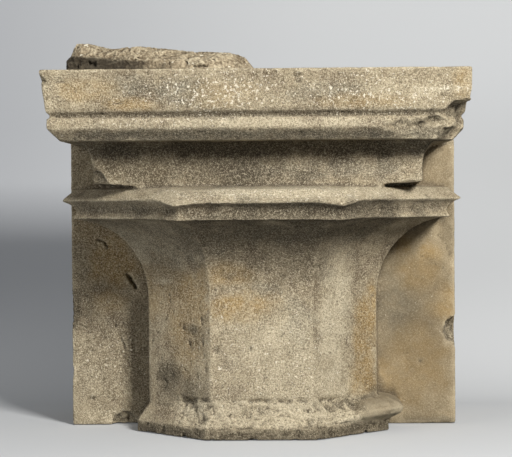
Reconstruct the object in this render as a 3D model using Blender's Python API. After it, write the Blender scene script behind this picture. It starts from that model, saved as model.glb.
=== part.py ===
"""Engaged capital of a wall respond, cut from one block of limestone.

A half-octagonal bell with a worn roll at its foot flares to a beaked ledge, and
a rectangular neck with hollow sides carries the abacus. All of it stands in front
of the block that was bonded into the wall. A lump of old bedding mortar lies on
the abacus. X runs along the wall, -Y out of it and Z up. The origin is on the
underside, below the middle of the block's front face.
"""

import math

import bmesh
import bpy
from mathutils import Vector, noise

# Block that was bonded into the wall
BLOCK_WIDTH = 0.360
BLOCK_DEPTH = 0.130
# How far a carved member runs into the block behind it, so that the two are one
ROOT = 0.006

# Shaft at the foot of the bell: three faces of an octagon and two short returns
SHAFT_WIDTH = 0.209
SHAFT_FRONT_WIDTH = 0.090
SHAFT_DEPTH = 0.102
# Share of an offset by which the front face widens on each side
MITRE = 0.39

# Roll and plain band at the foot. The roll is worn back to a slope except on the right
FOOT_HEIGHT = 0.031
FOOT_BAND_HEIGHT = 0.010
FOOT_PROJECTION = 0.0105
ROLL_PROJECTION = 0.024
# Height in the roll, then how much of the band's and of the roll's projection is left there
ROLL_PROFILE = ((0.30, 0.72, 0.90), (0.55, 0.50, 1.00), (0.78, 0.27, 0.78), (0.93, 0.10, 0.42))
# Where it is worn, the slope starts this much lower on the shaft
FOOT_WORN_DROP = 0.0060
# The roll survives to the right of here, and is whole this much further on
ROLL_BREAK = 0.052
ROLL_BREAK_WIDTH = 0.050

# Bell
FLARE_START = 0.123
FLARE_HEIGHT = 0.071
FLARE_PROJECTION = 0.066
FLARE_STEPS = 12

# Hollow under the beak, the beak and the ledge that rises behind it
HOLLOW_HEIGHT = 0.0168
HOLLOW_DEPTH = 0.0048
HOLLOW_STEPS = 6
BEAK_PROJECTION = 0.0050
BEAK_RETURN_PROJECTION = 0.0100
BEAK_THICKNESS = 0.0006
# The beak hangs lower at its front corners and, less, along its front
CORNER_DIP = 0.0050
FRONT_DIP = 0.0024
DIP_LENGTH = 0.021
# Share of that dip in the rim of the bell, and at the top of the ledge's steep edge
RIM_DIP = 0.30
EDGE_DIP = 0.55
# Powers by which the dip fades down the bell and the beak curls out of its hollow
DIP_FADE = 4
BEAK_CURL = 3
LEDGE_EDGE_RUN = 0.0125
LEDGE_EDGE_RISE = 0.0102
LEDGE_RUN = 0.038
LEDGE_RISE = 0.0117
LEDGE_FLAT_RUN = 0.110
LEDGE_FLAT_RISE = 0.0010

# Rectangular neck between ledge and abacus. It splays and flares most at the wall
NECK_WIDTH = 0.286
NECK_DEPTH = 0.1245
# How far its lower edge is sunk into the ledge in the middle
NECK_SEAT = 0.0007
NECK_BACK_SPLAY = 0.007
NECK_STRAIGHT_HEIGHT = 0.0165
NECK_FRONT_FLARE = 0.020
NECK_CORNER_FLARE = 0.017
NECK_BACK_FLARE = 0.024
NECK_STEPS = 6
# Its lower edge rises towards its corners, from this share of its half width
NECK_CORNER_LIFT = 0.0034
NECK_LIFT_START = 0.68
# The neck and the abacus sit a little to the left
HEAD_SHIFT = -0.0022

# Abacus: soffit, chamfer, fillet, groove and fascia
ABACUS_SOFFIT_LEVEL = 0.2606
ABACUS_WIDTH = 0.363
ABACUS_DEPTH = 0.176
FASCIA_HEIGHT = 0.0358
FASCIA_LEAN = 0.0045
# The right end of the abacus leans and steps back less than the front and the left end
RIGHT_END_UPRIGHT = 0.0040
GROOVE_HEIGHT = 0.0055
GROOVE_DEPTH = 0.0060
GROOVE_FLOOR_HEIGHT = 0.0011
FILLET_HEIGHT = 0.0084
FILLET_SETBACK = 0.0008
CHAMFER_HEIGHT = 0.0106
CHAMFER_RUN = 0.0106

# Losses: where the middle of each lies from the edge that it took, then its radii
ABACUS_CORNER_LOSS = ((0.0236, -0.0127, -0.0042), (0.049, 0.083, 0.0345))
FILLET_EDGE_LOSS = ((-0.014, -0.007, -0.0058), (0.067, 0.0235, 0.0193))
BLOCK_EDGE_LOSS = ((0.005, -0.001, 0.0865), (0.017, 0.013, 0.013))
FOOT_NOTCH = ((-0.025, -0.002, 0.0), (0.012, 0.012, 0.011))
NECK_CORNER_LOSS = ((-0.006, -0.004, -0.003), (0.018, 0.017, 0.020))
BEAK_END_LOSS = ((0.004, 0.0, -0.006), (0.008, 0.012, 0.0055))
FASCIA_END_LOSS = ((-0.004, -0.001, -0.009), (0.012, 0.005, 0.005))
LOSS_ROUGHNESS = 0.2
# How many coarse and fine lumps there are in a radius
LOSS_COARSE = 2.3
LOSS_FINE = 5.1
LOSS_DETAIL = 4

# Mortar lump, set back from the abacus's left end and front
GAP = 0.0003
MORTAR_LENGTH = 0.164
MORTAR_WIDTH = 0.118
MORTAR_THICKNESS = 0.0215
MORTAR_THIN_EDGE = 0.0012
MORTAR_END_SETBACK = 0.0185
MORTAR_FRONT_SETBACK = 0.013
# Share of the thickness that is lost towards the right, and that stands at two edges
MORTAR_FALL = 0.34
MORTAR_LEFT_EDGE = 0.40
MORTAR_FRONT_EDGE = 0.45
# Shares of its length and width over which the lump slopes down at its edges
MORTAR_LEFT_SLOPE = 0.06
MORTAR_RIGHT_SLOPE = 0.11
MORTAR_FRONT_SLOPE = 0.16
MORTAR_BACK_SLOPE = 0.30
MORTAR_END_ROUNDING = 0.16
MORTAR_NARROWING = 0.30
MORTAR_WANDER = 0.011
MORTAR_LUMP_SIZE = 0.035
MORTAR_ROUGHNESS = 0.22
MORTAR_COLUMNS = 34
MORTAR_ROWS = 20

# Points along each canted face of a section; the front face has twice as many
FACE_STEPS = 7

STONE = (0.36, 0.31, 0.23, 1.0)
MORTAR = (0.30, 0.26, 0.20, 1.0)

RIM_LEVEL = FLARE_START + FLARE_HEIGHT
BEAK_LEVEL = RIM_LEVEL + HOLLOW_HEIGHT
NECK_LEVEL = BEAK_LEVEL + LEDGE_RISE - NECK_SEAT
FILLET_LEVEL = ABACUS_SOFFIT_LEVEL + CHAMFER_HEIGHT
GROOVE_LEVEL = FILLET_LEVEL + FILLET_HEIGHT
FASCIA_LEVEL = GROOVE_LEVEL + GROOVE_HEIGHT
ABACUS_TOP = FASCIA_LEVEL + FASCIA_HEIGHT


def smooth_step(low, high, value):
    share = min(max((value - low) / (high - low), 0.0), 1.0)
    return share * share * (3 - 2 * share)


def material(name, colour, roughness):
    made = bpy.data.materials.new(name)
    made.use_nodes = True
    shader = made.node_tree.nodes["Principled BSDF"]
    shader.inputs["Base Color"].default_value = colour
    shader.inputs["Roughness"].default_value = roughness
    shader.inputs["Metallic"].default_value = 0.0
    made.diffuse_color = colour
    return made


def add_object(name, mesh, finish=None):
    """Object from a bmesh. Without a finish it is a guide or a cutter, which is not drawn."""
    bmesh.ops.recalc_face_normals(mesh, faces=mesh.faces)
    data = bpy.data.meshes.new(name)
    mesh.to_mesh(data)
    mesh.free()
    made = bpy.data.objects.new(name, data)
    bpy.context.scene.collection.objects.link(made)
    if finish:
        data.materials.append(finish)
    else:
        made.hide_render = True
        made.display_type = "WIRE"
    return made


def loft(sections):
    """Closed solid, extruded from section to section, all with the same number of points."""
    mesh = bmesh.new()
    base = mesh.faces.new([mesh.verts.new(point) for point in sections[0]])
    end = base
    for section in sections[1:]:
        grown = bmesh.ops.extrude_face_region(mesh, geom=[end])["geom"]
        if end is not base:
            mesh.faces.remove(end)
        end = next(item for item in grown if isinstance(item, bmesh.types.BMFace))
        for corner, point in zip(end.verts, section):
            corner.co = point
    return mesh


def along(start, end, steps):
    """Points from start up to, but not including, end."""
    return [start.lerp(end, step / steps) for step in range(steps)]


def faces_plan(corners, level):
    """Section through four corners, two at the wall and two in front, with its ends in the block."""
    left_edge, left_corner, right_corner, right_edge = (Vector((x, y, level)) for x, y in corners)
    points = [Vector((left_edge.x, ROOT, level))]
    points += along(left_edge, left_corner, FACE_STEPS)
    points += along(left_corner, right_corner, FACE_STEPS * 2)
    points += along(right_corner, right_edge, FACE_STEPS)
    return points + [right_edge, Vector((right_edge.x, ROOT, level))]


def respond_plan(offset, level, return_offset=None):
    """Section of the respond, grown by an offset from the shaft; its returns may grow by another."""
    half_front = SHAFT_FRONT_WIDTH / 2 + MITRE * offset
    half_width = SHAFT_WIDTH / 2 + (offset if return_offset is None else return_offset)
    front = -(SHAFT_DEPTH + offset)
    shoulder = min(front + half_width - half_front, 0.0)
    corners = ((-half_width, shoulder), (-half_front, front), (half_front, front), (half_width, shoulder))
    return faces_plan(corners, level)


def dipped(section, share):
    """Lets a section hang at its front corners and, less, along its front face."""
    front = min(point.y for point in section)
    on_front = [point for point in section if point.y - front < GAP]
    half_front = max(point.x for point in on_front)
    for point in section:
        away = math.dist((abs(point.x), point.y), (half_front, front))
        corner = 1 - smooth_step(0, DIP_LENGTH, away)
        face = FRONT_DIP * (1 - corner) if point in on_front else 0.0
        point.z -= share * (CORNER_DIP * corner + face)
    return section


def foot_sections():
    """Plain band, then the slope to which the roll is worn; on the right the roll still stands."""
    sections = [respond_plan(FOOT_PROJECTION, level) for level in (0.0, FOOT_BAND_HEIGHT)]
    for rise, worn, whole in (*ROLL_PROFILE, (1.0, 0.0, 0.0)):
        level = FOOT_BAND_HEIGHT + rise * (FOOT_HEIGHT - FOOT_BAND_HEIGHT)
        section = respond_plan(FOOT_PROJECTION * worn, level)
        roll = respond_plan(ROLL_PROJECTION * whole, level)
        for point, rolled in zip(section, roll):
            kept = smooth_step(ROLL_BREAK, ROLL_BREAK + ROLL_BREAK_WIDTH, point.x)
            point.xy = point.xy.lerp(rolled.xy, kept)
            point.z -= FOOT_WORN_DROP * rise * (1 - kept)
        sections.append(section)
    return sections


def bell_sections():
    """Straight shaft that flares by a quarter of an ellipse."""
    sections = []
    for step in range(FLARE_STEPS + 1):
        angle = math.pi / 2 * step / FLARE_STEPS
        offset = FLARE_PROJECTION * (1 - math.cos(angle))
        section = respond_plan(offset, FLARE_START + FLARE_HEIGHT * math.sin(angle))
        sections.append(dipped(section, RIM_DIP * (step / FLARE_STEPS) ** DIP_FADE))
    return sections


def hollow_sections():
    """From the rim of the bell in under the beak and out to its lip."""
    sections = []
    for step in range(1, HOLLOW_STEPS):
        share = step / HOLLOW_STEPS
        inward = HOLLOW_DEPTH * math.sin(math.pi * share)
        outward = share ** BEAK_CURL
        section = respond_plan(
            FLARE_PROJECTION - inward + BEAK_PROJECTION * outward,
            RIM_LEVEL + HOLLOW_HEIGHT * share,
            FLARE_PROJECTION - inward + BEAK_RETURN_PROJECTION * outward,
        )
        sections.append(dipped(section, RIM_DIP + (1 - RIM_DIP) * share ** 2))
    return sections


def ledge_sections():
    """Lip of the beak, the steep edge behind it and the ledge up to the neck and the block."""
    profile = (
        (0.0, -BEAK_THICKNESS, 1.0),
        (0.0, 0.0, 1.0),
        (LEDGE_EDGE_RUN, LEDGE_EDGE_RISE, EDGE_DIP),
        (LEDGE_RUN, LEDGE_RISE, 0.0),
        (LEDGE_FLAT_RUN, LEDGE_RISE + LEDGE_FLAT_RISE, 0.0),
    )
    lip = FLARE_PROJECTION + BEAK_PROJECTION
    return_lip = FLARE_PROJECTION + BEAK_RETURN_PROJECTION
    sections = []
    for run, rise, dip in profile:
        sections.append(dipped(respond_plan(lip - run, BEAK_LEVEL + rise, return_lip - run), dip))
    return sections


def respond():
    return loft(foot_sections() + bell_sections() + hollow_sections() + ledge_sections())


def neck_section(level, flare, lift=0.0):
    """Section of the neck at a share of its flare."""
    corner = NECK_WIDTH / 2 + NECK_CORNER_FLARE * flare
    back = NECK_WIDTH / 2 + NECK_BACK_SPLAY + NECK_BACK_FLARE * flare
    front = -(NECK_DEPTH + NECK_FRONT_FLARE * flare)
    points = faces_plan(((-back, 0.0), (-corner, front), (corner, front), (back, 0.0)), level)
    for point in points:
        point.z += lift * smooth_step(NECK_LIFT_START, 1.0, abs(point.x) / corner)
        point.x += HEAD_SHIFT
    return points


def neck():
    """Straight foot, then a hollow that dies into the abacus above its soffit."""
    flare_start = NECK_LEVEL + NECK_STRAIGHT_HEIGHT
    flare_height = ABACUS_SOFFIT_LEVEL + CHAMFER_HEIGHT / 3 - flare_start
    sections = [neck_section(NECK_LEVEL, 0.0, NECK_CORNER_LIFT)]
    for step in range(NECK_STEPS + 1):
        angle = math.pi / 2 * step / NECK_STEPS
        sections.append(neck_section(flare_start + flare_height * math.sin(angle), 1 - math.cos(angle)))
    return loft(sections)


def abacus():
    """Rectangular slab over the whole stone: chamfer, fillet, groove and leaning fascia."""
    fillet_inset = FASCIA_LEAN + FILLET_SETBACK
    profile = (
        (ABACUS_SOFFIT_LEVEL, fillet_inset + CHAMFER_RUN),
        (FILLET_LEVEL, fillet_inset),
        (GROOVE_LEVEL, fillet_inset),
        (GROOVE_LEVEL + GROOVE_FLOOR_HEIGHT, FASCIA_LEAN + GROOVE_DEPTH),
        (FASCIA_LEVEL, FASCIA_LEAN),
        (ABACUS_TOP, 0.0),
    )
    sections = []
    for level, inset in profile:
        left = inset - ABACUS_WIDTH / 2
        right = ABACUS_WIDTH / 2 - max(inset - RIGHT_END_UPRIGHT, 0.0)
        front = -(ABACUS_DEPTH - inset)
        corners = ((left, BLOCK_DEPTH), (left, front), (right, front), (right, BLOCK_DEPTH))
        sections.append([Vector((x + HEAD_SHIFT, y, level)) for x, y in corners])
    return loft(sections)


def wall_block():
    """The bonded block, up into the abacus."""
    mesh = bmesh.new()
    bmesh.ops.create_cube(mesh, size=1.0)
    height = ABACUS_SOFFIT_LEVEL + CHAMFER_HEIGHT / 2
    bmesh.ops.translate(mesh, verts=mesh.verts, vec=(0.0, 0.5, 0.5))
    bmesh.ops.scale(mesh, verts=mesh.verts, vec=(BLOCK_WIDTH, BLOCK_DEPTH, height))
    return mesh


def knobbly_lump(centre, radii, seed):
    """Uneven egg that is cut away to leave a broken surface."""
    mesh = bmesh.new()
    bmesh.ops.create_icosphere(mesh, subdivisions=LOSS_DETAIL, radius=1.0)
    for corner in mesh.verts:
        way = corner.co.normalized()
        coarse = noise.noise(LOSS_COARSE * way + Vector((seed, 0.0, 0.0)))
        fine = noise.noise(LOSS_FINE * way + Vector((0.0, seed, 0.0))) / 2
        corner.co = way * (1 + LOSS_ROUGHNESS * (coarse + fine))
    bmesh.ops.scale(mesh, verts=mesh.verts, vec=radii)
    bmesh.ops.translate(mesh, verts=mesh.verts, vec=centre)
    return mesh


def losses():
    """Name of each loss, the edge or corner that it took, and its place and size there."""
    head_left = -ABACUS_WIDTH / 2 + HEAD_SHIFT
    head_right = ABACUS_WIDTH / 2 + HEAD_SHIFT
    lip_depth = SHAFT_DEPTH + FLARE_PROJECTION + BEAK_PROJECTION
    lip_half_front = SHAFT_FRONT_WIDTH / 2 + MITRE * (FLARE_PROJECTION + BEAK_PROJECTION)
    lip_half_width = SHAFT_WIDTH / 2 + FLARE_PROJECTION + BEAK_RETURN_PROJECTION
    lip_shoulder = lip_half_width - lip_half_front - lip_depth
    neck_left = -NECK_WIDTH / 2 + HEAD_SHIFT
    return (
        ("abacus_corner_loss", (head_right, -ABACUS_DEPTH, FILLET_LEVEL), ABACUS_CORNER_LOSS),
        ("fillet_edge_loss", (head_right, -ABACUS_DEPTH, FILLET_LEVEL), FILLET_EDGE_LOSS),
        ("fascia_end_loss", (head_left, -ABACUS_DEPTH, ABACUS_TOP), FASCIA_END_LOSS),
        ("neck_corner_loss", (neck_left, -NECK_DEPTH, NECK_LEVEL), NECK_CORNER_LOSS),
        ("beak_end_loss", (lip_half_width, lip_shoulder, BEAK_LEVEL), BEAK_END_LOSS),
        ("block_edge_loss", (BLOCK_WIDTH / 2, 0.0, 0.0), BLOCK_EDGE_LOSS),
        ("foot_notch", (-SHAFT_WIDTH / 2, 0.0, 0.0), FOOT_NOTCH),
    )


def combine(target, other, operation):
    made = target.modifiers.new(other.name, "BOOLEAN")
    made.operation = operation
    made.object = other
    made.solver = "EXACT"


def capital_block(finish):
    stone = add_object("capital_block", wall_block(), finish)
    for name, mesh in (("respond", respond()), ("neck", neck()), ("abacus", abacus())):
        combine(stone, add_object(name, mesh), "UNION")
    for seed, (name, edge, (offset, radii)) in enumerate(losses()):
        lump = knobbly_lump(Vector(edge) + Vector(offset), radii, seed)
        combine(stone, add_object(name, lump), "DIFFERENCE")
    return stone


def mortar_height(length_share, width_share):
    """Thickness of the lump at a place in its length and width; its left end stands highest."""
    crown = 1 - MORTAR_FALL * smooth_step(0.0, 1.0, length_share)
    left_end = MORTAR_LEFT_EDGE + (1 - MORTAR_LEFT_EDGE) * smooth_step(0.0, MORTAR_LEFT_SLOPE, length_share)
    right_end = smooth_step(0.0, MORTAR_RIGHT_SLOPE, 1 - length_share)
    front = MORTAR_FRONT_EDGE + (1 - MORTAR_FRONT_EDGE) * smooth_step(0.0, MORTAR_FRONT_SLOPE, width_share)
    back = smooth_step(0.0, MORTAR_BACK_SLOPE, 1 - width_share)
    place = Vector((MORTAR_LENGTH * length_share, MORTAR_WIDTH * width_share, 0.0)) / MORTAR_LUMP_SIZE
    rough = 1 + MORTAR_ROUGHNESS * noise.noise(place)
    return MORTAR_THICKNESS * crown * left_end * right_end * front * back * rough


def mortar_bed(finish):
    """Flat-bottomed lump with an uneven outline, narrower towards its right end."""
    mesh = bmesh.new()
    bmesh.ops.create_grid(mesh, x_segments=MORTAR_COLUMNS, y_segments=MORTAR_ROWS, size=0.5)
    grown = bmesh.ops.extrude_face_region(mesh, geom=list(mesh.faces))["geom"]
    raised = {item for item in grown if isinstance(item, bmesh.types.BMVert)}
    start = -ABACUS_WIDTH / 2 + HEAD_SHIFT + MORTAR_END_SETBACK
    front = -ABACUS_DEPTH + MORTAR_FRONT_SETBACK
    for corner in mesh.verts:
        length_share, width_share = corner.co.x + 0.5, corner.co.y + 0.5
        place = Vector((MORTAR_LENGTH * length_share, MORTAR_WIDTH * width_share, 1.0)) / MORTAR_LUMP_SIZE
        wander = MORTAR_WANDER * noise.noise(place)
        rounded = 1 - MORTAR_END_ROUNDING * abs(2 * width_share - 1) ** 3
        narrowed = 1 - MORTAR_NARROWING * smooth_step(0.5, 1.0, length_share)
        level = ABACUS_TOP + GAP
        if corner in raised:
            level += MORTAR_THIN_EDGE + mortar_height(length_share, width_share)
        corner.co.x = start + MORTAR_LENGTH * length_share * rounded + wander
        corner.co.y = front + MORTAR_WIDTH * width_share * narrowed + wander
        corner.co.z = level
    return add_object("mortar_bed", mesh, finish)


def build():
    for old in list(bpy.data.objects):
        bpy.data.objects.remove(old, do_unlink=True)
    capital_block(material("limestone", STONE, 0.9))
    mortar_bed(material("mortar", MORTAR, 0.95))


build()
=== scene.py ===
import math

import bmesh
import bpy
import numpy as np
from mathutils import Matrix, Vector, noise


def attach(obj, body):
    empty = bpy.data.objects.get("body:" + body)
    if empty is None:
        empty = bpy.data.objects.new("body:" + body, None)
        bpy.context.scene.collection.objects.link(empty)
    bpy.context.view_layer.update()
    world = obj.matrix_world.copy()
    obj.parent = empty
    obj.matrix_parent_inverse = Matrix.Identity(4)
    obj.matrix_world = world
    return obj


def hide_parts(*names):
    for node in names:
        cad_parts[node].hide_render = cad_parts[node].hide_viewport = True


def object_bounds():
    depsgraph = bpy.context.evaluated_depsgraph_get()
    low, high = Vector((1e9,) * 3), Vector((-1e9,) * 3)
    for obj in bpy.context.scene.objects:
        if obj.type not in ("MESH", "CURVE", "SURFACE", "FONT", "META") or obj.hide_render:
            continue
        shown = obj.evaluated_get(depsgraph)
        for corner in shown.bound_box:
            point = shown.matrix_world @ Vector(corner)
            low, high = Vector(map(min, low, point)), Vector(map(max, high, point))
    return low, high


# Levels of the carved members, in metres above the underside
BAND_TOP = 0.010
FOOT_TOP = 0.031
LIP = 0.211
SOFFIT = 0.2606
BED = 0.3209

# Hewn slope of the foot, in metres to the right of the middle
HEWN_LEFT = -0.076
HEWN_RIGHT = 0.088

# Fineness of the meshes: size of a cell in metres, easing, and the most triangles
STONE_CELL = 0.0013
MORTAR_CELL = 0.0011
EASING_PASSES = 2
STONE_TRIANGLES = 194000
MORTAR_TRIANGLES = 60000

# Noise on the stone: size of its coarsest lumps in metres, octaves, and a shift of its own
CHIP_NOISE = (0.011, 4, 3.7)
LUMP_NOISE = (0.006, 4, 11.3)
GRAIN_NOISE = (0.0032, 3, 23.9)
SLOW_NOISE = (0.050, 2, 5.1)
RELIEF_NOISE = (0.017, 5, 31.7)
SHELF_NOISE = (0.012, 5, 41.3)
STROKE_NOISE = (0.03, 2, 7.7)
BITE_NOISE = (0.016, 3, 53.9)
STAIN_NOISE = (0.020, 4, 61.1)

# Noise on the mortar, in the same way
CRUMB_NOISE = (0.009, 4, 2.3)
SAND_NOISE = (0.003, 3, 17.9)
HOLE_NOISE = (0.0055, 2, 29.3)
SMUDGE_NOISE = (0.012, 4, 8.8)

# Depths cut into the stone, in metres
EVEN_CUT = 0.00025
SLOW_CUT = 0.00030
GRAIN_CUT = 0.00013
LUMP_CUT = 0.00012
PIT_CUT = 0.0008
EDGE_CUT = 0.0001
CHIP_CUT = 0.0016
LIP_CUT = 0.0040
BAND_CUT = 0.0022
STROKE_CUT = 0.00035

# Depths at a break and on the hewn slope, in metres: even, by the relief and by the lumps
BREAK_CUTS = (0.0008, 0.0022, 0.0006)
HEWN_CUTS = (0.0016, 0.0050, 0.0010)

# Tool strokes on the sides and the back: how far they lean, and a length in metres
# that is their spacing over pi
STROKE_LEAN = 0.8
STROKE_LENGTH = 0.0042

# Depths cut into the mortar, in metres: even, by the crumbs, by the sand and by the holes
MORTAR_CUTS = (0.0006, 0.0014, 0.0007, 0.0020)

# Pale upper edge of the mortar's front face, which is painted dark as shade below it: its level at
# the left end, where that is, and how steeply it falls to the right
PALE_EDGE_LEVEL = 0.3335
PALE_EDGE_LEFT = -0.158
PALE_EDGE_FALL = 0.08

# Losses in the stone: middle and radii of the place where the surface is broken
BREAKS = (
    ((0.2029, -0.1887, 0.267), (0.051, 0.086, 0.0365)),
    ((0.1653, -0.183, 0.2654), (0.069, 0.0255, 0.0213)),
    ((0.185, -0.001, 0.0865), (0.019, 0.015, 0.015)),
    ((-0.1295, -0.002, 0.0), (0.014, 0.014, 0.013)),
    ((-0.1512, -0.1285, 0.2189), (0.020, 0.019, 0.022)),
    ((0.1845, -0.065, 0.2048), (0.010, 0.014, 0.0075)),
    ((-0.1877, -0.177, 0.3119), (0.014, 0.007, 0.007)),
)

# Dents and pits: middle, radii and depth, in metres
DENTS = (
    ((-0.1385, 0.0, 0.0930), (0.0024, 0.006, 0.0022), 0.0020),
    ((-0.1650, 0.0, 0.0870), (0.0040, 0.006, 0.0030), 0.0010),
    ((-0.1810, 0.0, 0.1120), (0.0035, 0.014, 0.0200), 0.0022),
    ((-0.1810, 0.0, 0.0500), (0.0025, 0.012, 0.0100), 0.0014),
    ((0.1470, 0.0, 0.0585), (0.0018, 0.006, 0.0018), 0.0010),
    ((0.1330, 0.0, 0.0660), (0.0040, 0.006, 0.0010), 0.0007),
    ((-0.1820, -0.174, 0.3120), (0.0040, 0.008, 0.0022), 0.0030),
    ((-0.1660, -0.174, 0.3100), (0.0050, 0.008, 0.0012), 0.0016),
    ((-0.1170, -0.174, 0.2920), (0.0060, 0.008, 0.0008), 0.0016),
    ((0.0330, -0.174, 0.3115), (0.0060, 0.008, 0.0050), 0.0014),
    ((-0.0420, -0.130, 0.0790), (0.0050, 0.030, 0.0040), 0.0016),
    ((-0.0400, -0.110, 0.0790), (0.0040, 0.030, 0.0060), 0.0014),
)

# Cracks: the points that each follows, its half width and its depth
CRACKS = (
    (((-0.1265, 0.0, 0.1405), (-0.1235, 0.0, 0.1350), (-0.1195, 0.0, 0.1285)), 0.0026, 0.0060),
    (((-0.1545, 0.0, 0.1735), (-0.1490, 0.0, 0.1720), (-0.1465, 0.0, 0.1665)), 0.0018, 0.0044),
    (((-0.1345, 0.0, 0.0835), (-0.1325, 0.0, 0.0790), (-0.1290, 0.0, 0.0690)), 0.0013, 0.0034),
    (((0.148, 0.0, 0.1580), (0.160, 0.0, 0.1500), (0.172, 0.0, 0.1420)), 0.0006, 0.0008),
    (((0.165, 0.0, 0.1760), (0.172, 0.0, 0.1660), (0.176, 0.0, 0.1560)), 0.0007, 0.0010),
    (((0.0255, -0.103, 0.0285), (0.034, -0.104, 0.0262), (0.0475, -0.104, 0.0245)), 0.0012, 0.0040),
    (((-0.0845, -0.078, 0.033), (-0.083, -0.080, 0.027), (-0.080, -0.083, 0.0195)), 0.0014, 0.0034),
    (((0.083, -0.130, 0.219), (0.086, -0.136, 0.2155), (0.0885, -0.142, 0.212)), 0.0005, 0.0010),
    (((0.014, -0.102, 0.1120), (0.022, -0.102, 0.1130), (0.034, -0.102, 0.1160)), 0.0005, 0.0012),
    (((0.031, -0.102, 0.0545), (0.040, -0.102, 0.0550)), 0.0005, 0.0008),
    (((0.0540, -0.106, 0.0125), (0.075, -0.098, 0.0130), (0.090, -0.080, 0.0150)), 0.0007, 0.0024),
)

# How far a crack is shaken off its route, in metres. A route is placed in the front
# view, so this share of the distance out of the wall counts
CRACK_SHAKE = 0.0018
CRACK_OUT_SHARE = 0.12
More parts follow.
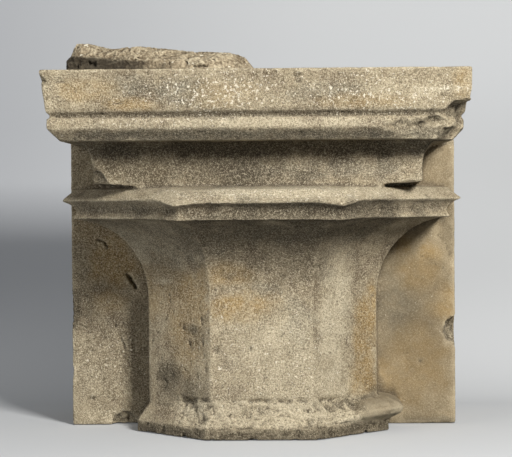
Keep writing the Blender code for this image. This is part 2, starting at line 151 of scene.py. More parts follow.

# Stains, bare places and painted shade: attribute, middle, radii and strength. The soot and damp
# kinds are real dark patches and also painted shade: the abacus's shadow on the neck, the lip's
# shadow on the bell, and shade in the groove, on the chamfer and in the hollow under the lip
STAINS = (
    ("ochre", (-0.030, -0.102, 0.146), (0.030, 0.02, 0.012), 0.75),
    ("ochre", (-0.018, -0.102, 0.117), (0.032, 0.02, 0.014), 0.95),
    ("ochre", (-0.062, -0.085, 0.135), (0.020, 0.04, 0.020), 0.70),
    ("ochre", (0.155, 0.0, 0.160), (0.014, 0.02, 0.012), 0.80),
    ("ochre", (0.130, 0.0, 0.168), (0.014, 0.02, 0.010), 0.70),
    ("ochre", (-0.095, -0.060, 0.130), (0.040, 0.05, 0.030), 0.50),
    ("ochre", (-0.070, -0.085, 0.100), (0.026, 0.04, 0.045), 0.55),
    ("ochre", (0.094, -0.062, 0.065), (0.015, 0.03, 0.055), 1.00),
    ("ochre", (0.099, -0.055, 0.105), (0.009, 0.03, 0.035), 1.00),
    ("damp_and_shade", (0.094, -0.062, 0.070), (0.014, 0.03, 0.055), 0.12),
    ("ochre", (0.145, 0.0, 0.142), (0.022, 0.02, 0.022), 0.60),
    ("ochre", (0.172, 0.0, 0.110), (0.018, 0.02, 0.020), 0.65),
    ("ochre", (0.143, 0.0, 0.058), (0.030, 0.02, 0.040), 0.50),
    ("ochre", (0.120, 0.0, 0.045), (0.020, 0.02, 0.020), 0.45),
    ("ochre", (-0.145, -0.174, 0.303), (0.028, 0.02, 0.010), 0.55),
    ("ochre", (-0.107, -0.174, 0.290), (0.025, 0.02, 0.006), 0.75),
    ("ochre", (-0.032, -0.174, 0.300), (0.030, 0.02, 0.012), 0.35),
    ("ochre", (0.090, -0.174, 0.292), (0.040, 0.02, 0.007), 0.45),
    ("ochre", (0.172, -0.174, 0.305), (0.012, 0.02, 0.018), 0.55),
    ("ochre", (-0.140, 0.0, 0.150), (0.024, 0.02, 0.034), 0.90),
    ("ochre", (-0.145, 0.0, 0.118), (0.018, 0.02, 0.014), 0.60),
    ("ochre", (-0.110, -0.110, 0.236), (0.045, 0.03, 0.014), 0.40),
    ("soot_and_shade", (-0.150, 0.0, 0.150), (0.050, 0.02, 0.070), 0.35),
    ("soot_and_shade", (-0.115, 0.0, 0.070), (0.022, 0.02, 0.060), 0.60),
    ("soot_and_shade", (-0.172, 0.0, 0.110), (0.022, 0.02, 0.028), 0.80),
    ("soot_and_shade", (-0.150, 0.0, 0.060), (0.045, 0.02, 0.055), 0.50),
    ("soot_and_shade", (-0.100, -0.1245, 0.238), (0.050, 0.03, 0.030), 0.55),
    ("soot_and_shade", (-0.145, -0.1245, 0.245), (0.020, 0.03, 0.016), 0.60),
    ("soot_and_shade", (0.010, -0.1245, 0.238), (0.110, 0.03, 0.020), 0.40),
    ("soot_and_shade", (0.165, 0.0, 0.238), (0.030, 0.02, 0.030), 0.35),
    # Painted shade in the groove
    ("soot_and_shade", (0.000, -0.172, 0.2825), (0.200, 0.03, 0.0035), 0.60),
    ("soot_and_shade", (0.116, -0.045, 0.024), (0.034, 0.060, 0.016), 0.60),
    ("ochre", (0.116, -0.045, 0.024), (0.036, 0.060, 0.016), 0.95),
    ("soot_and_shade", (0.145, 0.0, 0.100), (0.030, 0.02, 0.070), 0.22),
    ("damp_and_shade", (0.145, 0.0, 0.090), (0.050, 0.02, 0.110), 0.24),
    ("ochre", (-0.150, 0.0, 0.185), (0.040, 0.02, 0.030), 0.40),
    ("soot_and_shade", (-0.087, -0.072, 0.050), (0.014, 0.03, 0.020), 0.75),
    ("soot_and_shade", (-0.055, -0.095, 0.038), (0.012, 0.03, 0.012), 0.45),
    ("soot_and_shade", (-0.056, -0.095, 0.090), (0.009, 0.03, 0.010), 0.70),
    ("soot_and_shade", (-0.090, -0.080, 0.145), (0.030, 0.05, 0.030), 0.45),
    ("soot_and_shade", (0.145, 0.0, 0.110), (0.030, 0.02, 0.030), 0.30),
    ("patina", (-0.100, -0.090, 0.175), (0.070, 0.09, 0.040), 0.50),
    ("patina", (-0.130, -0.060, 0.205), (0.060, 0.10, 0.012), 0.30),
    ("patina", (0.040, -0.140, 0.190), (0.140, 0.08, 0.022), 0.50),
    ("damp_and_shade", (0.112, -0.050, 0.026), (0.034, 0.06, 0.014), 0.50),
    ("damp_and_shade", (0.175, 0.0, 0.190), (0.014, 0.02, 0.040), 0.35),
    ("damp_and_shade", (0.170, 0.0, 0.002), (0.060, 0.03, 0.005), 0.60),
    # Painted shadow of the lip on the bell, and painted shade in the hollow under the lip
    ("damp_and_shade", (0.010, -0.120, 0.178), (0.120, 0.06, 0.022), 0.42),
    ("damp_and_shade", (0.045, -0.150, 0.199), (0.150, 0.08, 0.013), 0.70),
    ("damp_and_shade", (0.020, -0.110, 0.158), (0.075, 0.05, 0.024), 0.45),
    ("damp_and_shade", (-0.060, -0.1245, 0.235), (0.110, 0.03, 0.018), 0.60),
    ("patina", (-0.115, -0.1245, 0.240), (0.020, 0.03, 0.015), 0.60),
    ("patina", (0.050, -0.1245, 0.236), (0.100, 0.03, 0.010), 0.60),
    ("patina", (-0.020, -0.150, 0.217), (0.060, 0.04, 0.007), 0.50),
    # Painted shadow of the abacus on the top of the neck
    ("damp_and_shade", (0.020, -0.1245, 0.256), (0.190, 0.03, 0.0100), 0.92),
    ("cream", (0.060, -0.160, 0.2165), (0.090, 0.05, 0.008), 1.00),
    ("flecks", (0.020, -0.160, 0.214), (0.120, 0.05, 0.010), 0.80),
    # Painted shade in the groove
    ("damp_and_shade", (0.000, -0.172, 0.2830), (0.240, 0.03, 0.0040), 0.45),
    ("damp_and_shade", (-0.085, -0.060, 0.050), (0.013, 0.04, 0.020), 0.50),
    ("damp_and_shade", (-0.0665, -0.080, 0.040), (0.009, 0.04, 0.011), 0.45),
    ("damp_and_shade", (-0.062, -0.090, 0.095), (0.006, 0.04, 0.005), 0.60),
    # Painted shade in the hollow under the lip
    ("damp_and_shade", (0.050, -0.140, 0.198), (0.120, 0.08, 0.009), 0.30),
    # Painted shade on the chamfer, which faces down
    ("damp_and_shade", (-0.010, -0.168, 0.2655), (0.200, 0.03, 0.006), 0.45),
    ("damp_and_shade", (-0.110, -0.1245, 0.240), (0.050, 0.03, 0.014), 0.35),
    ("damp_and_shade", (-0.178, 0.0, 0.110), (0.006, 0.02, 0.022), 0.70),
    ("cream", (-0.0906, -0.060, 0.137), (0.009, 0.04, 0.0035), 0.80),
    ("patina", (-0.105, -0.174, 0.308), (0.024, 0.02, 0.010), 0.65),
    ("patina", (-0.065, -0.174, 0.301), (0.026, 0.02, 0.014), 0.75),
    ("patina", (0.055, -0.174, 0.300), (0.040, 0.02, 0.009), 0.45),
    ("patina", (0.000, -0.102, 0.130), (0.016, 0.04, 0.010), 0.50),
    ("patina", (0.032, -0.102, 0.100), (0.014, 0.04, 0.030), 0.45),
    ("patina", (0.125, 0.0, 0.110), (0.022, 0.02, 0.040), 0.50),
    ("patina", (0.000, -0.168, 0.265), (0.200, 0.03, 0.006), 0.85),
    ("cream", (0.020, -0.102, 0.060), (0.060, 0.04, 0.055), 0.60),
    ("cream", (0.066, -0.090, 0.105), (0.018, 0.04, 0.085), 1.00),
    ("cream", (-0.100, -0.174, 0.2755), (0.060, 0.02, 0.006), 0.30),
    ("cream", (0.010, -0.174, 0.2755), (0.120, 0.02, 0.006), 0.75),
    ("cream", (0.060, -0.160, 0.216), (0.050, 0.04, 0.012), 0.75),
    ("cream", (0.125, -0.110, 0.216), (0.045, 0.06, 0.010), 0.45),
    ("cream", (-0.070, -0.160, 0.214), (0.030, 0.04, 0.012), 0.55),
    ("cream", (0.000, -0.165, 0.214), (0.070, 0.04, 0.010), 0.65),
    ("flecks", (-0.040, -0.174, 0.302), (0.075, 0.02, 0.024), 1.00),
    ("flecks", (0.100, -0.174, 0.300), (0.090, 0.02, 0.026), 0.85),
    ("flecks", (0.155, -0.174, 0.303), (0.032, 0.02, 0.007), 1.00),
    ("cream", (0.155, -0.174, 0.302), (0.030, 0.02, 0.0035), 0.90),
    ("cream", (-0.075, -0.172, 0.2715), (0.008, 0.02, 0.0016), 1.00),
    ("flecks", (0.010, -0.110, 0.065), (0.110, 0.06, 0.060), 0.55),
    ("flecks", (-0.140, 0.0, 0.060), (0.050, 0.02, 0.060), 0.45),
    ("flecks", (-0.100, -0.174, 0.276), (0.080, 0.02, 0.008), 0.70),
)
STAIN_KINDS = ("ochre", "soot_and_shade", "patina", "cream", "flecks", "damp_and_shade")

# Colours of the finishes, as the 0 to 255 values of a colour picker
STONE_TONES = ((128, 113, 90), (167, 152, 124), (195, 180, 150))
MORTAR_TONES = ((112, 98, 78), (148, 134, 110), (186, 173, 147))
DRESSED_TONE = (146, 129, 99)
PINHOLE_TONE = (58, 50, 40)

# Share of the light given back where the damp mask lies: real damp patches, and painted shade under
# the abacus and the lip, in the groove and on the chamfer and the bottom band
DAMP_AND_SHADE_SHARE = (0.50, 0.48, 0.45, 1.0)

# Stains that lie in patches, and layers that lie evenly: attribute, colour and strength. Soot and
# damp are real dark patches and also painted shade; the hollow layer is painted shade in small
# hollows
PATCHY_STAINS = (
    ("patina", (112, 110, 98), 0.85),
    ("ochre", (178, 146, 90), 0.88),
    ("soot_and_shade", (82, 72, 56), 0.80),
    ("cream", (214, 201, 172), 0.80),
)
STONE_LAYERS = (
    ("damp_and_shade", (84, 77, 64), 0.92),
    ("worn", (212, 198, 168), 0.35),
    ("hollow", (78, 68, 54), 0.70),
)
MORTAR_LAYERS = (
    ("worn", (206, 194, 166), 0.45),
    ("hollow", (60, 50, 40), 0.75),
)
# Painted shade on the mortar's dark front face, most at its left end
MORTAR_SHADED_FACE = (("soot_and_shade", (40, 35, 28), 0.90),)

# Colour and strength of the dark grains, the pale grains and the white flecks
STONE_GRAINS = (((74, 64, 50), 0.60), ((232, 220, 192), 0.58), ((240, 232, 212), 0.85))
MORTAR_GRAINS = (((66, 54, 40), 0.50), ((222, 208, 178), 0.30), ((236, 228, 206), 0.8))

# Camera. The lens and the two shifts were fitted in pixels of the photograph
PHOTO_WIDTH_PX = 512
FOCAL_LENGTH_PX = 1725
SHIFT_LEFT_PX = 36.5
SHIFT_DOWN_PX = 28.5
SENSOR_WIDTH = 36.0
CAMERA_PLACE = (0.028125, -1.6172, 0.2103)
CAMERA_LENS = FOCAL_LENGTH_PX / PHOTO_WIDTH_PX * SENSOR_WIDTH
CAMERA_LEFT = math.degrees(math.atan(SHIFT_LEFT_PX / FOCAL_LENGTH_PX))
CAMERA_DOWN = math.degrees(math.atan(SHIFT_DOWN_PX / FOCAL_LENGTH_PX))
CAMERA_ROLL = -0.42

# Lights: name, degrees to the right of straight in front, degrees up, distance and size in
# metres, power in watts, and colour. They all face one place on the stone
LIGHTS = (
    ("key", 29, 25.5, 2.0, (0.45, 0.45), 61.0, (1.0, 0.985, 0.955)),
    ("overhead", -10, 72, 2.0, (1.4, 1.4), 4.2, (0.97, 0.98, 1.0)),
    ("fill", -52, 6, 2.2, (0.9, 0.5), 16.0, (0.97, 0.98, 1.0)),
    ("rear", 205, 14, 2.2, (1.2, 0.8), 12.0, (1.0, 1.0, 1.0)),
)
LIGHT_TARGET = (0.0, -0.08, 0.17)
SKY_TONE = (0.95, 0.97, 1.0, 1.0)
SKY_LIGHT = 0.015
SKY_SEEN = 0.60

# The paper, in metres. It lies flat to a place behind the stone, then bends up
PAPER_REACH = 5.0
PAPER_HALF_WIDTH = 6.0
PAPER_LEVEL = -0.0004
PAPER_BEND_START = 0.16
PAPER_BEND = 0.30
PAPER_BEND_STEPS = 24

# Colours of the paper: upright at its left and right, on the floor, near the camera, and
# as it lights the stone. The upright is painted darker than the floor, and darker still at the left:
# painted shade. Each gives way to the next between two places, in metres
PAPER_UPRIGHT = ((154, 156, 160), (182, 184, 186))
PAPER_FLOOR = (200, 202, 204)
PAPER_NEAR = (138, 139, 141)
PAPER_BOUNCED = (108, 109, 110)
PAPER_SIDES = (-0.5, 0.1)
PAPER_RISE = (0.0, 0.14)
PAPER_FORWARD = (-0.35, -1.2)
# Faint glow of the paper: painted light that brightens the backdrop
PAPER_GLOW_TONE = (0.92, 0.96, 1.0, 1.0)
PAPER_GLOW = 0.05


def smooth_step(low, high, value):
    share = np.clip((value - low) / (high - low), 0.0, 1.0)
    return share * share * (3 - 2 * share)


def between(low, high, soft, value):
    """1 from low to high, falling to 0 over a soft edge on both sides."""
    rise = smooth_step(low - soft, low + soft, value)
    return rise * (1 - smooth_step(high - soft, high + soft, value))


def rough_field(points, size, octaves, shift):
    """Fractal noise at each point. Its coarsest lumps are about size across."""
    places = (points / size + shift).tolist()
    return np.array([noise.fractal(place, 0.7, 2.1, octaves) for place in places])


def inside(points, middle, radii):
    """How far each point is from the middle, in radii."""
    return np.sqrt((((points - np.array(middle)) / np.array(radii)) ** 2).sum(axis=1))


def vertex_arrays(mesh):
    count = len(mesh.vertices)
    points = np.empty(count * 3)
    normals = np.empty(count * 3)
    mesh.vertices.foreach_get("co", points)
    mesh.vertex_normals.foreach_get("vector", normals)
    return points.reshape(-1, 3), normals.reshape(-1, 3)


def bulge(mesh, points, normals, passes):
    """How far each point stands out of its surroundings, smoothed by so many passes."""
    ends = np.empty(len(mesh.edges) * 2, dtype=np.int64)
    mesh.edges.foreach_get("vertices", ends)
    first, second = ends.reshape(-1, 2).T
    count = len(points)
    valence = np.bincount(first, minlength=count) + np.bincount(second, minlength=count)
    smooth = points.copy()
    for _ in range(passes):
        total = np.empty_like(smooth)
        for axis in range(3):
            total[:, axis] = np.bincount(first, smooth[second, axis], count)
            total[:, axis] += np.bincount(second, smooth[first, axis], count)
        smooth = total / valence[:, None]
    return ((points - smooth) * normals).sum(axis=1)


def solid_copy(node, name):
    """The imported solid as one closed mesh."""
    shape = bmesh.new()
    shape.from_mesh(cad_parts[node].data)
    bmesh.ops.remove_doubles(shape, verts=shape.verts, dist=0.00002)
    mesh = bpy.data.meshes.new(name)
    shape.to_mesh(mesh)
    shape.free()
    piece = bpy.data.objects.new(name, mesh)
    bpy.context.scene.collection.objects.link(piece)
    return piece


def settle(piece):
    """Puts what the modifiers make into the mesh."""
    bpy.context.view_layer.update()
    made = piece.evaluated_get(bpy.context.evaluated_depsgraph_get())
    mesh = bpy.data.meshes.new_from_object(made)
    piece.modifiers.clear()
    piece.data = mesh


def refine(piece, cell):
    """Even cells all over the solid, eased so that no step of a cell shows."""
    cells = piece.modifiers.new("cells", "REMESH")
    cells.mode = "VOXEL"
    cells.voxel_size = cell
    ease = piece.modifiers.new("ease", "SMOOTH")
    ease.factor = 0.5
    ease.iterations = EASING_PASSES
    settle(piece)


def thin_out(piece, triangles):
    count = sum(len(face.vertices) - 2 for face in piece.data.polygons)
    if count > triangles:
        fewer = piece.modifiers.new("fewer", "DECIMATE")
        fewer.ratio = triangles / count
        settle(piece)
    keep_inside(piece.data)


def keep_inside(mesh):
    """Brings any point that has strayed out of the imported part's box back to its side."""
    points = vertex_arrays(mesh)[0]
    low, high = (np.array(corner) for corner in cad_box)
    mesh.vertices.foreach_set("co", np.clip(points, low, high).ravel())
    mesh.update()


def crack_depth(points, route, half_width, depth):
    """Depth of a crack that follows a route, at each point."""
    nearest = np.full(len(points), 1.0)
    for start, end in zip(route, route[1:]):
        start, end = np.array(start), np.array(end)
        way = end - start
        share = np.clip(((points - start) @ way) / (way @ way), 0.0, 1.0)
        away = points - start - share[:, None] * way
        away[:, 1] *= CRACK_OUT_SHARE
        nearest = np.minimum(nearest, np.sqrt((away ** 2).sum(axis=1)))
    return depth * (1 - smooth_step(0.0, 1.0, nearest / half_width))


def stone_regions(points, normals):
    """How much each member of the carving claims each point."""
    out, level = points[:, 1], points[:, 2]
    facing = -normals[:, 1]
    in_front = out < -0.004
    region = {}
    region["foot_slope"] = between(BAND_TOP, FOOT_TOP + 0.003, 0.0025, level) * in_front
    region["foot_band"] = (1 - smooth_step(BAND_TOP - 0.002, BAND_TOP + 0.001, level)) * in_front
    region["block"] = smooth_step(0.004, 0.001, np.abs(out)) * (facing > 0.6) * (level < SOFFIT)
    region["unseen"] = smooth_step(0.02, 0.05, out)
    worst = np.full(len(points), 9.0)
    for middle, radii in BREAKS:
        worst = np.minimum(worst, inside(points, middle, radii))
    region["broken"] = smooth_step(1.12, 0.92, worst)
    return region


def weather_stone(piece):
    """Grain, pits, hand-cut unevenness, chipped edges and broken relief, all cut inwards."""
    mesh = piece.data
    points, normals = vertex_arrays(mesh)
    region = stone_regions(points, normals)
    edge = smooth_step(0.0002, 0.0010, bulge(mesh, points, normals, 6))
    chips = rough_field(points, *CHIP_NOISE)
    lumps = rough_field(points, *LUMP_NOISE)
    grain = rough_field(points, *GRAIN_NOISE)
    slow = rough_field(points, *SLOW_NOISE)
    across, out, level = points.T
    smooth_block = region["block"] * smooth_step(-0.02, 0.10, across)
    rough = 1.0 - 0.75 * smooth_block
    depth = EVEN_CUT + SLOW_CUT * slow
    depth += rough * (GRAIN_CUT * grain + LUMP_CUT * lumps)
    depth += rough * PIT_CUT * smooth_step(0.56, 0.85, lumps)
    depth += edge * (EDGE_CUT + CHIP_CUT * smooth_step(0.30, 0.80, chips))
    relief = rough_field(points, *RELIEF_NOISE)
    even, by_relief, by_lumps = BREAK_CUTS
    depth += region["broken"] * (even + by_relief * relief + by_lumps * lumps)
    # The hewn slope is split in flat shelves, so its noise is stretched sideways
    shelf = rough_field(points * np.array((0.55, 0.55, 1.0)), *SHELF_NOISE)
    slope = region["foot_slope"] * between(HEWN_LEFT, HEWN_RIGHT, 0.008, across)
    even, by_relief, by_lumps = HEWN_CUTS
    depth += slope * (even + by_relief * shelf + by_lumps * lumps)
    depth += region["foot_band"] * BAND_CUT * smooth_step(0.30, 0.7, chips)
    strokes = np.sin((across * STROKE_LEAN + level) / STROKE_LENGTH * 2 + 3 * slow)
    strokes *= smooth_step(-0.2, 0.3, rough_field(points, *STROKE_NOISE))
    depth += region["unseen"] * STROKE_CUT * strokes
    lip = between(LIP - 0.005, LIP + 0.002, 0.001, level) * smooth_step(-0.10, -0.14, out)
    bitten = rough_field(points * np.array((1.0, 1.0, 0.2)), *BITE_NOISE)
    depth += lip * edge * LIP_CUT * smooth_step(0.0, 0.55, bitten)
    for middle, radii, deep in DENTS:
        reach = inside(points, middle, radii) + 0.35 * lumps + 0.45 * grain
        depth += deep * (1 - smooth_step(0.45, 1.1, reach))
    shaken = points + CRACK_SHAKE * np.stack([lumps, chips, grain], axis=1)
    for route, half_width, deep in CRACKS:
        depth += crack_depth(shaken, route, half_width, deep)
    points -= np.maximum(depth, 0.0)[:, None] * normals
    mesh.vertices.foreach_set("co", points.ravel())
    mesh.update()


def set_attribute(mesh, name, values):
    layer = mesh.attributes.new(name, "FLOAT", "POINT")
    layer.data.foreach_set("value", np.clip(values, 0.0, 1.0).astype(np.float32))


def stain_stone(piece):
    """Writes the masks that the stone's finish reads."""
    mesh = piece.data
    points, normals = vertex_arrays(mesh)
    region = stone_regions(points, normals)
    masks = {kind: np.zeros(len(points)) for kind in STAIN_KINDS}
    ragged = rough_field(points, *STAIN_NOISE)
    for kind, middle, radii, strength in STAINS:
        reach = inside(points, middle, radii) + 0.42 * ragged
        masks[kind] = np.maximum(masks[kind], strength * (1 - smooth_step(0.45, 1.25, reach)))
    stands_out = bulge(mesh, points, normals, 5)
    across = points[:, 0]
    slope = region["foot_slope"]
    for bare in (
        0.85 * slope * (1 - smooth_step(-0.055, -0.075, across)),
        0.95 * slope * between(HEWN_LEFT, 0.090, 0.01, across),
        0.30 * region["broken"],
    ):
        masks["cream"] = np.maximum(masks["cream"], bare)
    right_side = region["block"] * smooth_step(0.06, 0.12, across)
    masks["smooth"] = np.maximum(right_side, slope * smooth_step(0.085, 0.10, across))
    # The bottom band is painted darker: painted shade under the hewn slope
    masks["damp_and_shade"] = np.maximum(masks["damp_and_shade"], 0.75 * region["foot_band"])
    masks["worn"] = smooth_step(0.00025, 0.0010, stands_out)
    # Small hollows are painted darker: painted shade in recesses
    masks["hollow"] = smooth_step(0.00022, 0.0009, -stands_out)
    for name, values in masks.items():
        set_attribute(mesh, name, values)


def crumble_mortar(piece):
    """Sandy lumps and deep pits. The lump stays above the bed it lies on."""
    mesh = piece.data
    points, normals = vertex_arrays(mesh)
    crumbs = rough_field(points, *CRUMB_NOISE)
    sand = rough_field(points, *SAND_NOISE)
    holes = rough_field(points, *HOLE_NOISE)
    front = smooth_step(0.3, 0.7, -normals[:, 1])
    even, by_crumbs, by_sand, by_holes = MORTAR_CUTS
    depth = even + by_crumbs * crumbs + by_sand * sand
    depth += (0.4 + 1.6 * front) * by_holes * smooth_step(0.25, 0.6, holes)
    clear = smooth_step(0.0, 0.003, points[:, 2] - BED)
    points -= (np.maximum(depth, 0.0) * clear)[:, None] * normals
    mesh.vertices.foreach_set("co", points.ravel())
    mesh.update()


def stain_mortar(piece):
    mesh = piece.data
    points, normals = vertex_arrays(mesh)
    stands_out = bulge(mesh, points, normals, 5)
    ragged = rough_field(points, *SMUDGE_NOISE)
    across, _, level = points.T
    # The front face below the pale edge is painted dark, most at the left end: painted shade
    pale_edge = PALE_EDGE_LEVEL - PALE_EDGE_FALL * (across - PALE_EDGE_LEFT)
    front = smooth_step(-0.05, 0.25, -normals[:, 1])
    front *= smooth_step(0.0010, -0.0020, level - pale_edge)
    left = 1 - smooth_step(-0.120, -0.055, across + 0.03 * ragged)
    set_attribute(mesh, "soot_and_shade", front * (0.05 + 1.0 * left) * (1.0 + 0.3 * ragged))
    set_attribute(mesh, "worn", smooth_step(0.00015, 0.0007, stands_out))
    # Small hollows are painted darker: painted shade in recesses
    set_attribute(mesh, "hollow", smooth_step(0.00015, 0.0007, -stands_out))


def add_node(tree, kind, settings=None, **inputs):
    """A shader node. An input is a value, or another node's output to link."""
    made = tree.nodes.new(kind)
    for name, value in (settings or {}).items():
        setattr(made, name, value)
    for name, value in inputs.items():
        socket = made.inputs[name.replace("_", " ")]
        if isinstance(value, bpy.types.NodeSocket):
            tree.links.new(value, socket)
        else:
            socket.default_value = value
    return made


def plug(tree, socket, value):
    if isinstance(value, bpy.types.NodeSocket):
        tree.links.new(value, socket)
    else:
        socket.default_value = value


def calc(tree, operation, first, second=0.0, clamp=False):
    made = tree.nodes.new("ShaderNodeMath")
    made.operation = operation
    made.use_clamp = clamp
    plug(tree, made.inputs[0], first)
    plug(tree, made.inputs[1], second)
    return made.outputs[0]


def times(tree, first, second, clamp=False):
    return calc(tree, "MULTIPLY", first, second, clamp)


def fade(tree, value, low, high, to_low=0.0, to_high=1.0):
    """Smooth change from one output to another as the value goes from low to high."""
    made = tree.nodes.new("ShaderNodeMapRange")
    made.interpolation_type = "SMOOTHSTEP"
    for socket, number in zip(made.inputs[:5], (value, low, high, to_low, to_high)):
        plug(tree, socket, number)
    return made.outputs[0]


def tint(tree, share, under, over, blend="MIX"):
    """Lays one colour over another by a share."""
    made = tree.nodes.new("ShaderNodeMix")
    made.data_type = "RGBA"
    made.blend_type = blend
    plug(tree, made.inputs[0], share)
    plug(tree, made.inputs[6], under)
    plug(tree, made.inputs[7], over)
    return made.outputs[2]


def mask(tree, name):
    made = add_node(tree, "ShaderNodeAttribute", {"attribute_name": name})
    return made.outputs["Fac"]


def cloud(tree, place, scale, detail, roughness):
    made = add_node(
        tree, "ShaderNodeTexNoise", Vector=place, Scale=scale, Detail=detail, Roughness=roughness,
    )
    return made.outputs["Fac"]


def new_group(name, inputs, outputs):
    """Node group with named number or colour sockets."""
    tree = bpy.data.node_groups.new(name, "ShaderNodeTree")
    for direction, sockets in (("INPUT", inputs), ("OUTPUT", outputs)):
        for label, kind in sockets:
            tree.interface.new_socket(label, in_out=direction, socket_type=kind)
    return tree, tree.nodes.new("NodeGroupInput").outputs, tree.nodes.new("NodeGroupOutput").inputs


def sandy_grain():
    """Dark and light grains of sand, pinholes and white flecks, as masks and as a height."""
    number, vector = "NodeSocketFloat", "NodeSocketVector"
    tree, given, out = new_group(
        "sandy_grain",
        [("Place", vector), ("Scale", number), ("Flecks", number)],
        [("Grain", number), ("Light", number), ("Pinholes", number), ("Height", number)],
    )
    place, scale = given["Place"], given["Scale"]
    fine = cloud(tree, place, scale, 2.0, 0.65)
    middle = cloud(tree, place, times(tree, scale, 0.42), 3.0, 0.6)
    sand = calc(tree, "ADD", times(tree, fine, 0.6), times(tree, middle, 0.4))
    grain = fade(tree, sand, 0.36, 0.64)
    spots = cloud(tree, place, times(tree, scale, 0.26), 2.0, 0.7)
    # More flecks come through where the level that a spot has to reach is lower
    level = calc(tree, "SUBTRACT", 0.73, times(tree, given["Flecks"], 0.145))
    light = fade(tree, spots, level, calc(tree, "ADD", level, 0.03))
    holes = fade(tree, cloud(tree, place, times(tree, scale, 0.5), 1.0, 0.5), 0.34, 0.25)
    relief = calc(tree, "ADD", times(tree, grain, 0.5), times(tree, middle, 0.5))
    height = calc(tree, "SUBTRACT", relief, times(tree, holes, 0.8))
    tree.links.new(grain, out["Grain"])
    tree.links.new(light, out["Light"])
    tree.links.new(holes, out["Pinholes"])
    tree.links.new(height, out["Height"])
    return tree


def mottled_tone():
    """Cloudy blend of three colours, as stone varies over a hand's breadth."""
    number, hue, vector = "NodeSocketFloat", "NodeSocketColor", "NodeSocketVector"
    tree, given, out = new_group(
        "mottled_tone",
        [("Place", vector), ("Scale", number), ("Dark", hue), ("Middle", hue), ("Pale", hue)],
        [("Colour", hue)],
    )
    broad = cloud(tree, given["Place"], given["Scale"], 4.0, 0.6)
    close = cloud(tree, given["Place"], times(tree, given["Scale"], 4.3), 3.0, 0.6)
    blotch = calc(tree, "ADD", times(tree, broad, 0.6), times(tree, close, 0.4))
    low = tint(tree, fade(tree, blotch, 0.39, 0.51), given["Dark"], given["Middle"])
    tree.links.new(tint(tree, fade(tree, blotch, 0.52, 0.63), low, given["Pale"]), out["Colour"])
    return tree


def start_material(name, roughness, specular):
    material = bpy.data.materials.new(name)
    material.use_nodes = True
    tree = material.node_tree
    shader = tree.nodes["Principled BSDF"]
    shader.inputs["Roughness"].default_value = roughness
    shader.inputs["Specular IOR Level"].default_value = specular
    shader.inputs["Metallic"].default_value = 0.0
    place = add_node(tree, "ShaderNodeTexCoord").outputs["Object"]
    return material, tree, shader, place


def place_group(tree, group, **inputs):
    made = tree.nodes.new("ShaderNodeGroup")
    made.node_tree = group
    for name, value in inputs.items():
        plug(tree, made.inputs[name], value)
    return made.outputs


def colour(red, green, blue):
    """Linear colour from the 0 to 255 values of a colour picker."""
    def linear(value):
        share = value / 255
        return share / 12.92 if share <= 0.04045 else ((share + 0.055) / 1.055) ** 2.4
    return (linear(red), linear(green), linear(blue), 1.0)


def lay_tones(tree, group, place, scale, tones):
    """The dark, middle and pale colours of a finish, mottled at a scale."""
    dark, middle, pale = (colour(*tone) for tone in tones)
    mottled = place_group(tree, group, Place=place, Scale=scale, Dark=dark, Middle=middle, Pale=pale)
    return mottled["Colour"]


def lay_masks(tree, tone, layers):
    """Colours laid over the tone where the piece's attributes ask for them."""
    for name, over, strength in layers:
        tone = tint(tree, times(tree, mask(tree, name), strength), tone, colour(*over))
    return tone


def lay_grains(tree, tone, grain, grains, contrast):
    """Dark grains, pale grains and white flecks. Contrast weakens all but the flecks."""
    (dark, dark_share), (pale, pale_share), (white, white_share) = grains
    low = times(tree, fade(tree, grain["Grain"], 0.55, 0.0, 0.0, dark_share), contrast)
    high = times(tree, fade(tree, grain["Grain"], 0.50, 1.0, 0.0, pale_share), contrast)
    tone = tint(tree, low, tone, colour(*dark))
    tone = tint(tree, high, tone, colour(*pale))
    return tint(tree, times(tree, grain["Light"], white_share), tone, colour(*white))


def finish_surface(tree, shader, tone, height, strength, distance):
    tree.links.new(tone, shader.inputs["Base Color"])
    bump = add_node(tree, "ShaderNodeBump", Strength=strength, Distance=distance, Height=height)
    tree.links.new(bump.outputs[0], shader.inputs["Normal"])


def weathered_limestone(grain_group, tone_group):
    material, tree, shader, place = start_material("weathered_limestone", 0.92, 0.25)
    smooth = mask(tree, "smooth")
    tone = lay_tones(tree, tone_group, place, 16.0, STONE_TONES)
    grain = place_group(tree, grain_group, Place=place, Scale=1500.0, Flecks=mask(tree, "flecks"))
    tone = tint(tree, times(tree, smooth, 0.60), tone, colour(*DRESSED_TONE))
    broken_up = fade(tree, cloud(tree, place, 75.0, 4.0, 0.65), 0.30, 0.60, 0.40, 1.0)
    # Soot is real dark patches and also paints shade, such as in the groove
    for name, over, strength in PATCHY_STAINS:
        patches = times(tree, mask(tree, name), broken_up)
        tone = tint(tree, times(tree, patches, strength, clamp=True), tone, colour(*over))
    # The damp layer darkens damp patches and paints shade under the abacus and the lip; the hollow
    # layer paints shade in small hollows
    tone = lay_masks(tree, tone, STONE_LAYERS)
    contrast = fade(tree, smooth, 0.0, 1.0, 1.0, 0.30)
    tone = lay_grains(tree, tone, grain, STONE_GRAINS, contrast)
    pinholes = times(tree, times(tree, grain["Pinholes"], contrast), 0.6)
    tone = tint(tree, pinholes, tone, colour(*PINHOLE_TONE))
    # Painted shade: the damp mask darkens the tone once more
    tone = tint(tree, mask(tree, "damp_and_shade"), tone, DAMP_AND_SHADE_SHARE, "MULTIPLY")
    height = times(tree, grain["Height"], contrast)
    finish_surface(tree, shader, tone, height, strength=1.0, distance=0.0010)
    return material


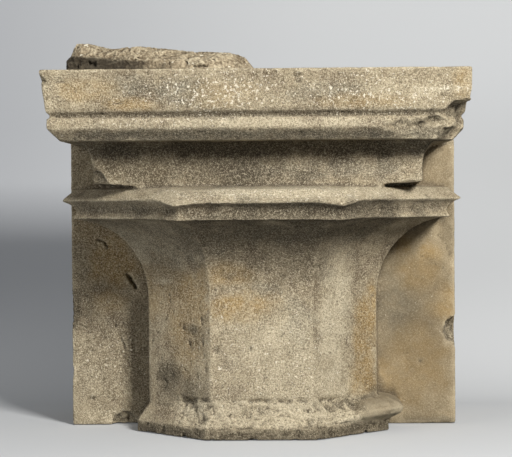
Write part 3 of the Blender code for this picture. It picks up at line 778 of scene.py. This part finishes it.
def old_mortar(grain_group, tone_group):
    material, tree, shader, place = start_material("old_mortar", 0.95, 0.2)
    tone = lay_tones(tree, tone_group, place, 38.0, MORTAR_TONES)
    grain = place_group(tree, grain_group, Place=place, Scale=520.0, Flecks=0.5)
    tone = lay_masks(tree, tone, MORTAR_LAYERS)
    tone = lay_grains(tree, tone, grain, MORTAR_GRAINS, 1.0)
    tone = lay_masks(tree, tone, MORTAR_SHADED_FACE)
    finish_surface(tree, shader, tone, grain["Height"], strength=0.9, distance=0.0012)
    return material


def dress(piece, material, node):
    """Finish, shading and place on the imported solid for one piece."""
    piece.data.materials.clear()
    piece.data.materials.append(material)
    piece.data.polygons.foreach_set("use_smooth", [True] * len(piece.data.polygons))
    piece.data.update()
    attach(piece, "root")
    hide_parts(node)


def of_kind(items, kind):
    return [item for item in items if isinstance(item, kind)]


def studio_sweep():
    """Pale floor that curves up into a backdrop close behind the stone."""
    corner, side = bmesh.types.BMVert, bmesh.types.BMEdge
    shape = bmesh.new()
    near = [
        shape.verts.new((across, -PAPER_REACH, PAPER_LEVEL))
        for across in (-PAPER_HALF_WIDTH, PAPER_HALF_WIDTH)
    ]
    edge = shape.edges.new(near)
    far = bmesh.ops.extrude_edge_only(shape, edges=[edge])["geom"]
    verts, edges = of_kind(far, corner), of_kind(far, side)
    bmesh.ops.translate(shape, verts=verts, vec=(0.0, PAPER_BEND_START + PAPER_REACH, 0.0))
    bent = bmesh.ops.spin(
        shape, geom=edges + verts, cent=(0.0, PAPER_BEND_START, PAPER_BEND), axis=(1.0, 0.0, 0.0),
        dvec=(0.0, 0.0, 0.0), angle=math.radians(90), steps=PAPER_BEND_STEPS, use_duplicate=False,
    )["geom_last"]
    top = bmesh.ops.extrude_edge_only(shape, edges=of_kind(bent, side))["geom"]
    bmesh.ops.translate(shape, verts=of_kind(top, corner), vec=(0.0, 0.0, PAPER_REACH))
    mesh = bpy.data.meshes.new("studio_sweep")
    bmesh.ops.remove_doubles(shape, verts=shape.verts, dist=0.0001)
    bmesh.ops.recalc_face_normals(shape, faces=shape.faces)
    floor = min(shape.faces, key=lambda face: face.calc_center_median().y)
    if floor.normal.z < 0:
        bmesh.ops.reverse_faces(shape, faces=shape.faces)
    shape.to_mesh(mesh)
    shape.free()
    sweep = bpy.data.objects.new("studio_sweep", mesh)
    bpy.context.scene.collection.objects.link(sweep)
    mesh.polygons.foreach_set("use_smooth", [True] * len(mesh.polygons))
    mesh.materials.append(pale_paper())


def pale_paper():
    """Pale paper that throws back little light, glows faintly as painted light, and is clear when
    seen from behind.
    """
    material, tree, shader, place = start_material("pale_paper", 0.9, 0.1)
    seen = add_node(tree, "ShaderNodeLightPath").outputs["Is Camera Ray"]
    parts = add_node(tree, "ShaderNodeSeparateXYZ", Vector=place).outputs
    left, right = (colour(*tone) for tone in PAPER_UPRIGHT)
    # Painted shade: the upright darker than the floor, most at its left
    upright = tint(tree, fade(tree, parts["X"], *PAPER_SIDES), left, right)
    paper = tint(tree, fade(tree, parts["Z"], *PAPER_RISE), colour(*PAPER_FLOOR), upright)
    paper = tint(tree, fade(tree, parts["Y"], *PAPER_FORWARD), paper, colour(*PAPER_NEAR))
    tree.links.new(tint(tree, seen, colour(*PAPER_BOUNCED), paper), shader.inputs["Base Color"])
    behind = add_node(tree, "ShaderNodeNewGeometry").outputs["Backfacing"]
    tree.links.new(calc(tree, "SUBTRACT", 1.0, behind), shader.inputs["Alpha"])
    # Faint glow of the paper: painted light that brightens the backdrop
    shader.inputs["Emission Color"].default_value = PAPER_GLOW_TONE
    shader.inputs["Emission Strength"].default_value = PAPER_GLOW
    return material


def soft_light(name, bearing, rise, distance, size, power, tone):
    """Area light that faces the stone. Bearing is degrees to the right of straight in front."""
    data = bpy.data.lights.new(name, "AREA")
    data.shape = "RECTANGLE"
    data.size, data.size_y = size
    data.energy = power
    data.color = tone
    lamp = bpy.data.objects.new(name, data)
    bpy.context.scene.collection.objects.link(lamp)
    turn, lift = math.radians(bearing), math.radians(rise)
    level_reach = math.cos(lift)
    way = Vector((math.sin(turn) * level_reach, -math.cos(turn) * level_reach, math.sin(lift)))
    lamp.location = Vector(LIGHT_TARGET) + distance * way
    lamp.rotation_euler = way.to_track_quat("Z", "Y").to_euler()


def studio():
    for light in LIGHTS:
        soft_light(*light)
    world = bpy.data.worlds.new("studio")
    bpy.context.scene.world = world
    world.use_nodes = True
    tree = world.node_tree
    sky = tree.nodes["Background"]
    sky.inputs["Color"].default_value = SKY_TONE
    seen = add_node(tree, "ShaderNodeLightPath").outputs["Is Camera Ray"]
    tree.links.new(fade(tree, seen, 0.0, 1.0, SKY_LIGHT, SKY_SEEN), sky.inputs["Strength"])
    bpy.context.scene.view_settings.view_transform = "Standard"


def camera():
    data = bpy.data.cameras.new("camera")
    data.sensor_width = SENSOR_WIDTH
    data.lens = CAMERA_LENS
    eye = bpy.data.objects.new("camera", data)
    bpy.context.scene.collection.objects.link(eye)
    turn = Matrix.Rotation(math.radians(CAMERA_LEFT), 4, "Z")
    tip = Matrix.Rotation(math.radians(90 - CAMERA_DOWN), 4, "X")
    roll = Matrix.Rotation(math.radians(CAMERA_ROLL), 4, "Z")
    eye.matrix_world = Matrix.Translation(CAMERA_PLACE) @ turn @ tip @ roll
    bpy.context.scene.camera = eye


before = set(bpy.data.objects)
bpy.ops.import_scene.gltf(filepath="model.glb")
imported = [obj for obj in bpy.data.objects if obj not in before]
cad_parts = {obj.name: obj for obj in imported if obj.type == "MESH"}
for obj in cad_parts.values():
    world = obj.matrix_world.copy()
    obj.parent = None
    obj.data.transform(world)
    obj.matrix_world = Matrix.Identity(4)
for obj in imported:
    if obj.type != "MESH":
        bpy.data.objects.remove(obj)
cad_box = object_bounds()
grain_group, tone_group = sandy_grain(), mottled_tone()

stone = solid_copy("capital_block", "carved_stone")
refine(stone, STONE_CELL)
weather_stone(stone)
thin_out(stone, STONE_TRIANGLES)
stain_stone(stone)
dress(stone, weathered_limestone(grain_group, tone_group), "capital_block")

mortar = solid_copy("mortar_bed", "mortar_lump")
refine(mortar, MORTAR_CELL)
crumble_mortar(mortar)
thin_out(mortar, MORTAR_TRIANGLES)
stain_mortar(mortar)
dress(mortar, old_mortar(grain_group, tone_group), "mortar_bed")

studio_sweep()
studio()
camera()
